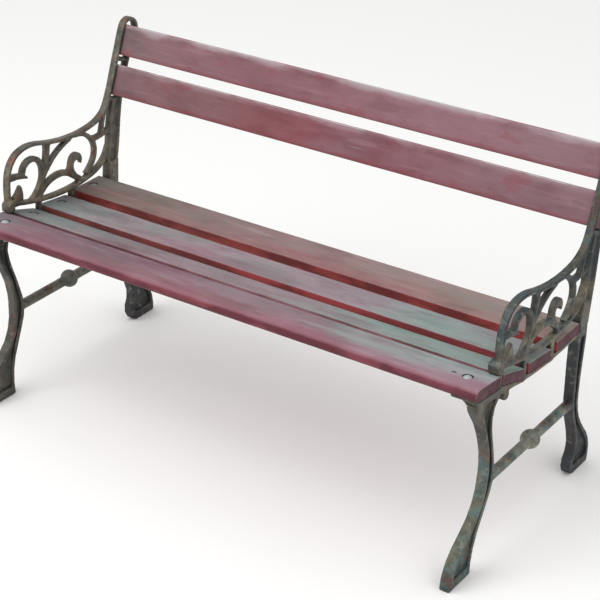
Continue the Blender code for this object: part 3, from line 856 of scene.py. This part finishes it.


# Colours along a seat slat, as (X in mm, display colour): near its top's front edge, near its top's
# rear edge, and on its front face, whose dark red is partly painted shade.
SEAT_LOOKS = {
    "seat_slat_front": (
        [(-590, (140, 124, 132)), (-530, (138, 104, 113)), (-300, (134, 94, 104)),
         (60, (142, 100, 108)), (240, (152, 108, 121)), (420, (152, 124, 134)),
         (590, (150, 120, 130))],
        [(-590, (126, 118, 124)), (-500, (130, 104, 112)), (-330, (120, 90, 101)),
         (-60, (142, 114, 124)), (150, (146, 116, 126)), (270, (144, 140, 142)),
         (400, (146, 151, 151)), (590, (156, 160, 162))],
        [(-590, (122, 56, 70)), (-300, (126, 54, 70)), (100, (126, 48, 62)), (590, (116, 44, 60))]),
    "seat_slat_second": (
        [(-590, (122, 131, 130)), (-480, (136, 142, 141)), (-380, (146, 130, 136)),
         (-290, (124, 92, 99)), (-190, (152, 132, 140)), (0, (146, 120, 128)), (200, (142, 146, 144)),
         (400, (136, 156, 149)), (590, (138, 152, 147))],
        [(-590, (112, 122, 121)), (-480, (128, 136, 135)), (-330, (140, 124, 130)),
         (-200, (146, 124, 132)), (100, (150, 138, 143)), (300, (132, 152, 145)),
         (590, (136, 150, 145))],
        [(-590, (120, 88, 92)), (-300, (120, 66, 74)), (200, (142, 98, 108)), (590, (146, 96, 106))]),
    "seat_slat_third": (
        [(-590, (118, 124, 123)), (-440, (144, 144, 145)), (-330, (146, 126, 132)),
         (-200, (152, 126, 134)), (-60, (142, 114, 124)), (200, (150, 136, 142)),
         (360, (142, 153, 150)), (590, (138, 150, 146))],
        [(-590, (110, 115, 114)), (-440, (134, 135, 135)), (-250, (150, 134, 139)),
         (100, (152, 138, 144)), (400, (140, 150, 150)), (590, (142, 144, 146))],
        [(-590, (112, 60, 52)), (-350, (126, 54, 50)), (0, (146, 52, 52)), (590, (150, 54, 60))]),
    "seat_slat_rear": (
        [(-590, (110, 94, 86)), (-420, (128, 104, 98)), (-200, (146, 109, 110)),
         (100, (148, 106, 107)), (400, (150, 118, 116)), (590, (150, 126, 120))],
        [(-590, (116, 110, 102)), (-380, (124, 108, 101)), (-150, (138, 112, 110)),
         (200, (146, 120, 118)), (590, (150, 132, 126))],
        [(-590, (138, 42, 32)), (-300, (130, 52, 46)), (0, (134, 46, 42)), (590, (148, 48, 48))]),
}
# Colours along a back slat, in the same way.
BACK_LOOKS = {
    "back_slat_lower": [
        (-590, (122, 95, 98)), (-480, (138, 98, 102)), (-320, (140, 94, 99)), (-190, (140, 80, 87)),
        (-60, (143, 82, 90)), (20, (142, 98, 107)), (100, (136, 80, 89)), (230, (146, 98, 107)),
        (400, (140, 102, 110)), (590, (140, 104, 112))],
    "back_slat_upper": [
        (-590, (124, 100, 101)), (-480, (137, 100, 104)), (-360, (145, 101, 108)),
        (-230, (139, 92, 100)), (-40, (146, 98, 106)), (180, (153, 110, 120)), (320, (151, 104, 115)),
        (450, (148, 110, 119)), (590, (143, 98, 108))],
}
# Dark holes beside the right bolt: how far along X and how far back from it, in mm.
NAIL_HOLES = {"seat_slat_front": (-29.0, 1.5), "seat_slat_second": (-17.0, 2.0)}
NAIL_RADIUS = 2.1
SEAT_TONE = 0.975
BACK_TONE = 0.89
BOLT_GRIME_SHADE_REACH = 0.0118  # How far from a bolt's middle the grime and painted shade fade out, in metres.
BOLT_GRIME_SHADE_FULL = 0.0100


class SlatPaint(Paint):
    """Worn paint on a slat, with the slat's own coordinates ready as 0 to 1 shares."""

    def __init__(self, name, seed):
        super().__init__("worn_paint_" + name)
        self.name = name
        corner, along, normal, wide, thick = slat_frame(name)
        start = world(corner.x, corner.y)
        self.shift = (seed, 2 * seed, 3 * seed)
        self.across = self.along(start, (0, along.x, along.y), wide * MM)
        self.below = self.along(start, (0, -normal.x, -normal.y), thick * MM)
        self.length = self.along((-HALF * MM, 0, 0), RIGHT, 2 * HALF * MM)
        self.grain = self.noise((6, 300, 300), 4, 0.65, self.shift, 0.2)
        self.streak = self.noise((3.5, 60, 60), 4, 0.6, self.shift, 0.5)
        self.smear = self.noise((9, 26, 26), 4, 0.6, self.shift, 0.15)
        self.cloud = self.noise((4.5, 10, 10), 4, 0.6, self.shift)
        self.facing = self.node("ShaderNodeSeparateXYZ", {0: self.geometry("Normal")})

    def wandering(self, amount):
        """The share of the length, pushed about so that a band's ends fray along the grain."""
        push = self.plus(self.times(self.streak, 0.6), self.smear)
        push = self.plus(push, self.times(self.cloud, 0.8))
        push = self.times(self.minus(push, 1.2), amount)
        return self.plus(self.length, push)

    def bands(self, stops, amount=0.16):
        """The colours along the slat, blended between stops of (X in mm, display colour)."""
        tone = BACK_TONE if self.name in BACK_SLATS else SEAT_TONE
        placed = [((x + HALF) / (2 * HALF), rgb(*(tone * c for c in colour))) for x, colour in stops]
        return self.ramp(self.wandering(amount), placed)

    def reach(self, x, share_across, one_side=False, squash=1.0):
        """Distance, in metres, over the face from a point; from both ends unless one_side.

        A squash under 1 draws a mark out along X.
        """
        away = self.along(ORIGIN, RIGHT, 1.0)
        away = away if one_side else self.math("ABSOLUTE", away)
        away = self.times(self.minus(away, x * MM), squash)
        wide = slat_frame(self.name)[3] * MM
        over = self.times(self.minus(self.across, share_across), wide)
        made = self.node("ShaderNodeCombineXYZ", {0: away, 1: over}).outputs[0]
        return self.node("ShaderNodeVectorMath", {0: made}, operation="LENGTH").outputs["Value"]

    def weathered(self, colour):
        """The finish that every slat shares: mottling, pale streaks, veins and scratches."""
        dark = self.steps(self.smear, 0.52, 0.36, 0.0, 0.22)
        colour = self.mix(dark, colour, self.mix(1.0, colour, rgb(168, 138, 142), "MULTIPLY"))
        pale = self.steps(self.noise((7, 90, 90), 4, 0.6, self.shift), 0.52, 0.74, 0.0, 0.25)
        grey = rgb(168, 130, 136) if self.name in BACK_SLATS else rgb(176, 170, 172)
        colour = self.mix(pale, colour, grey)
        vein = self.steps(self.grain, 0.44, 0.30, 0.0, 0.34)
        colour = self.mix(vein, colour, rgb(86, 68, 72))
        if self.name in SEAT_SLATS:
            hue = self.noise((6, 14, 14), 3, 0.5, (self.shift[0] + 4, 2, 9), 0.1)
            green = self.mix(1.0, colour, rgb(228, 248, 240), "MULTIPLY")
            pink = self.mix(1.0, colour, rgb(248, 226, 236), "MULTIPLY")
            colour = self.mix(self.steps(hue, 0.50, 0.64, 0.0, 0.7), colour, green)
            colour = self.mix(self.steps(hue, 0.48, 0.36, 0.0, 0.7), colour, pink)
        scratch = self.steps(self.noise((11, 520, 520), 2, 0.5, self.shift), 0.69, 0.76, 0.0, 0.2)
        return self.mix(scratch, colour, rgb(196, 190, 190))

    def end_grain(self, colour):
        """Dark, blotchy wood on the cut ends, darker along their top and bottom edges."""
        across = self.math("ABSOLUTE", self.facing.outputs["X"])
        rings = self.noise((40, 90, 160), 4, 0.6, self.shift, 0.4)
        blotch = self.plus(self.times(rings, 0.6), self.times(self.smear, 0.4))
        wood = self.ramp(blotch, [(0.36, rgb(42, 32, 36)), (0.46, rgb(70, 32, 42)),
                                  (0.60, rgb(80, 38, 48)), (0.74, rgb(88, 74, 78))])
        middle = self.math("ABSOLUTE", self.minus(self.below, 0.5))
        rim = self.plus(middle, self.times(self.cloud, 0.15))
        wood = self.mix(self.steps(rim, 0.46, 0.58, 0.0, 0.7), wood, rgb(46, 54, 56))
        return self.mix(self.steps(across, 0.55, 0.9), colour, wood)

    def bolt_grime_and_shade(self, colour, x, strength):
        """Grime round each bolt, with painted shade for the shadow in its recess, deepest just behind
        its head.
        """
        behind = 0.5 + 1.0 / slat_frame(self.name)[3]
        ring = self.steps(self.reach(x, behind), BOLT_GRIME_SHADE_REACH, BOLT_GRIME_SHADE_FULL)
        ring = self.times(ring, strength)
        return self.mix(ring, colour, rgb(40, 42, 44))

    def surface(self, colour):
        """The material, with the grain raised and the paint duller where it's thin."""
        height = self.plus(self.grain, self.times(self.smear, 0.5))
        normal = self.bump(height, 0.0009, 0.45)
        normal = self.bump(self.noise((60, 700, 700), 2, 0.6, self.shift), 0.0004, 0.4, normal)
        rough = self.steps(self.smear, 0.3, 0.7, 0.82, 0.58)
        return self.finish(colour, rough, normal)


def seat_wood(name, seed):
    """Faded, chalky paint on a seat slat's top, and dark red left on its front face, darker there
    partly as painted shade.
    """
    p = SlatPaint(name, seed)
    front, rear, face = SEAT_LOOKS[name]
    fray = p.times(p.minus(p.cloud, 0.5), 0.9)
    across = p.plus(p.across, fray)
    colour = p.mix(p.steps(across, 0.25, 0.62), p.bands(front), p.bands(rear))
    colour = p.weathered(colour)
    # Red on the faces that turn away from the sky: the paint's own red, darkened partly as painted
    # shade.
    red = p.bands(face, 0.3)
    flake = p.times(p.minus(p.smear, 0.5), 0.35)
    turn = p.plus(p.facing.outputs["Z"], flake)
    face_red_and_shade = p.mix(p.steps(p.smear, 0.40, 0.62), p.mix(1.0, red, rgb(190, 180, 180), "MULTIPLY"), red)
    if name == "seat_slat_front":
        colour = p.mix(p.steps(turn, 0.98, 0.80, 0.0, 0.8), colour, rgb(134, 86, 100))
    begin, full = (0.84, 0.45) if name == "seat_slat_front" else (0.85, 0.50)
    colour = p.mix(p.steps(turn, begin, full), colour, face_red_and_shade)
    rub = p.steps(p.plus(p.geometry("Pointiness"), p.times(p.streak, 0.06)), 0.56, 0.62)
    colour = p.mix(p.times(rub, 0.5), colour, rgb(172, 160, 160))
    colour = p.end_grain(colour)
    bolt_x = SEAT_SLATS[name][3]
    # Grime and painted shade round the bolts; on the front slat it paints the shadow behind the
    # bright heads.
    colour = p.bolt_grime_and_shade(colour, bolt_x, 0.9 if name == "seat_slat_front" else 0.45)
    if name in NAIL_HOLES:
        away, over = NAIL_HOLES[name]
        wide = slat_frame(name)[3]
        spot = p.reach(bolt_x + away, 0.5 + over / wide, one_side=True, squash=0.5)
        hole = p.steps(spot, (NAIL_RADIUS + 1.2) * MM, (NAIL_RADIUS - 0.2) * MM)
        colour = p.mix(hole, colour, rgb(38, 36, 38))
    return p.surface(colour)


def back_wood(name, seed):
    """Rose-red paint on a back slat, stronger in patches and low down, washed out on top, and paler
    on its top face partly as a painted highlight.
    """
    p = SlatPaint(name, seed)
    colour = p.bands(BACK_LOOKS[name], 0.2)
    colour = p.weathered(colour)
    strong = p.times(p.steps(p.noise((12, 22, 22), 4, 0.6, p.shift, 0.5), 0.56, 0.68), 0.5)
    colour = p.mix(strong, colour, rgb(132, 62, 70))
    low = p.steps(p.plus(p.across, p.times(p.smear, 0.3)), 0.34, 0.20, 0.0, 0.5)
    colour = p.mix(low, colour, rgb(126, 54, 62))
    washed = 0.75 if name == "back_slat_upper" else 0.3
    edge = p.plus(p.across, p.times(p.minus(p.smear, 0.5), 0.5))
    colour = p.mix(p.steps(edge, 0.78, 1.0, 0.0, washed), colour, rgb(166, 152, 156))
    # Paler where the slat faces up: partly faded paint, partly painted light from above.
    lift = p.plus(p.facing.outputs["Z"], p.times(p.streak, 0.3))
    top = p.steps(lift, 0.72, 0.95)
    shade = p.mix(p.steps(p.smear, 0.4, 0.6), rgb(150, 112, 118), rgb(186, 176, 176))
    colour = p.mix(top, colour, shade)
    colour = p.end_grain(colour)
    # Faint painted shade round the painted-over bolt heads.
    colour = p.bolt_grime_and_shade(colour, BACK_BOLT_X, 0.08)
    return p.surface(colour)


def metal(name, light, dark, roughness, metallic):
    """Weathered plated steel, with darker blotches and a finely dimpled surface."""
    p = Paint(name)
    spot = p.noise((380, 380, 380), 4, 0.65)
    tint = p.ramp(spot, [(0.38, rgb(*dark)), (0.60, rgb(*light))])
    edge = p.geometry("Pointiness")
    # Hollows and creases are darkened: painted shade.
    tint = p.mix(p.steps(edge, 0.47, 0.40, 0.0, 0.7), tint, rgb(44, 42, 40))
    rough = p.steps(spot, 0.35, 0.65, roughness + 0.15, roughness - 0.05)
    return p.finish(tint, rough, p.bump(spot, 0.0004, 0.4), metallic)


# ---- Assembly ----


def show(thing, name, material, slot, *nodes, angle=35):
    """Names a piece, gives it its material, and ties it to the frame."""
    thing.name = name
    thing.data.name = name
    thing.data.materials.clear()
    thing.data.materials.append(material)
    thing.data.shade_smooth()
    thing.data.set_sharp_from_angle(angle=math.radians(angle))
    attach(thing, "root")
    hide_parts(*nodes)


def build_castings():
    material = iron()
    right = casting_mesh()
    left = right.copy()
    for mesh, side, name in ((right, 1, "right_end_frame"), (left, -1, "left_end_frame")):
        lean(mesh, side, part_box(name))
        thing = link(bpy.data.objects.new("casting_" + name, mesh))
        show(thing, "casting_" + name, material, "cast_iron", name, angle=50)


def build_slats():
    """Builds the slats and gives back the back slats' paints, by name."""
    for i, name in enumerate(SEAT_SLATS):
        board = plank(name, 11.3 * i)
        show(board, "board_" + name, seat_wood(name, 3.7 * i), "seat_wood", name)
    paints = {name: back_wood(name, 20.0 + 5 * i) for i, name in enumerate(BACK_SLATS)}
    for i, name in enumerate(BACK_SLATS):
        board = plank(name, 70.1 + 9.7 * i)
        show(board, "board_" + name, paints[name], "back_wood", name)
    return paints


def build_fasteners(back_paints):
    """Builds each bolt, washer and nut; on the back slats the bolt heads are painted over."""
    bright = metal("bright_zinc", (184, 194, 192), (140, 150, 150), 0.45, 0.25)
    dull = metal("dull_zinc", (118, 122, 116), (76, 80, 76), 0.55, 0.4)
    grey = metal("weathered_head", (124, 130, 126), (96, 102, 98), 0.7, 0.0)
    for at, out, side, owner, clamped in bolt_places():
        place = owner.replace("_slat", "") + ("_left" if side < 0 else "_right")
        head, high, crown, radius = grey, WORN_HEAD_HIGH, WORN_HEAD_HIGH, HEAD_RADIUS
        if owner in BACK_SLATS:
            head, high, crown = back_paints[owner], PAINTED_HEAD_HIGH, PAINTED_CROWN
        if owner == "seat_slat_front":
            head, high, crown, radius = bright, HEAD_HIGH, HEAD_HIGH, FRONT_HEAD_RADIUS
        pieces = {"bolt": bolt(at, out, clamped, high, crown, radius),
                  "washer": washer(at, out, clamped),
                  "nut": nut(at, out, clamped)}
        for kind, thing in pieces.items():
            node = f"{kind}_{place}"
            show(thing, "fine_" + node, head if kind == "bolt" else dull, "zinc_steel", node)


# ---- Stage and camera, in metres ----

FLOOR_SIZE = 24.0
FLOOR_GAP = 0.0005
SKY_STRENGTH = 0.8
LIGHTS = (((-1.2, -2.2, 3.4), 3.0, 70), ((2.4, -0.6, 3.0), 2.5, 18))  # (place, size, watts)
LIGHTS_AIM = (0, 0, 0.35)
LENS = 108.8
CAMERA_PLACE = (1.8867, -2.3372, 2.0194)  # X, depth from the front feet's tips, and height.
CAMERA_TURN = 35.05  # Degrees to the left of straight back, and down from level.
CAMERA_DROP = 27.95


def build_stage():
    """A pale floor, an even white sky and two soft lights."""
    bpy.ops.mesh.primitive_plane_add(size=FLOOR_SIZE)
    floor = bpy.context.object
    floor.name = "floor"
    floor.location.z = -FLOOR_GAP
    p = Paint("pale_floor")
    floor.data.materials.append(p.finish(rgb(250, 250, 249), 0.9, None))
    floor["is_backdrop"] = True
    sky = bpy.data.worlds.new("soft_white")
    bpy.context.scene.world = sky
    sky.use_nodes = True
    back = sky.node_tree.nodes["Background"]
    back.inputs["Color"].default_value = (1.0, 1.0, 1.0, 1.0)
    back.inputs["Strength"].default_value = SKY_STRENGTH
    for place, size, power in LIGHTS:
        data = bpy.data.lights.new("softbox", "AREA")
        data.size = size
        data.energy = power
        lamp = link(bpy.data.objects.new("softbox", data))
        lamp.location = place
        aim = Vector(LIGHTS_AIM) - Vector(place)
        lamp.rotation_euler = aim.to_track_quat("-Z", "Y").to_euler()


def build_camera():
    data = bpy.data.cameras.new("camera")
    data.sensor_width = 36.0
    data.lens = LENS
    camera = link(bpy.data.objects.new("camera", data))
    x, depth, height = CAMERA_PLACE
    camera.location = (x, depth + FRONT_TIP * MM, height)
    camera.rotation_euler = (math.radians(90 - CAMERA_DROP), 0, math.radians(CAMERA_TURN))
    bpy.context.scene.camera = camera
    bpy.context.scene.view_settings.view_transform = "Standard"


build_castings()
build_fasteners(build_slats())
build_stage()
build_camera()

boxes = {"cad": CAD_BOX, "visual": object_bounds()}
{key: [list(corner) for corner in box] for key, box in boxes.items()}
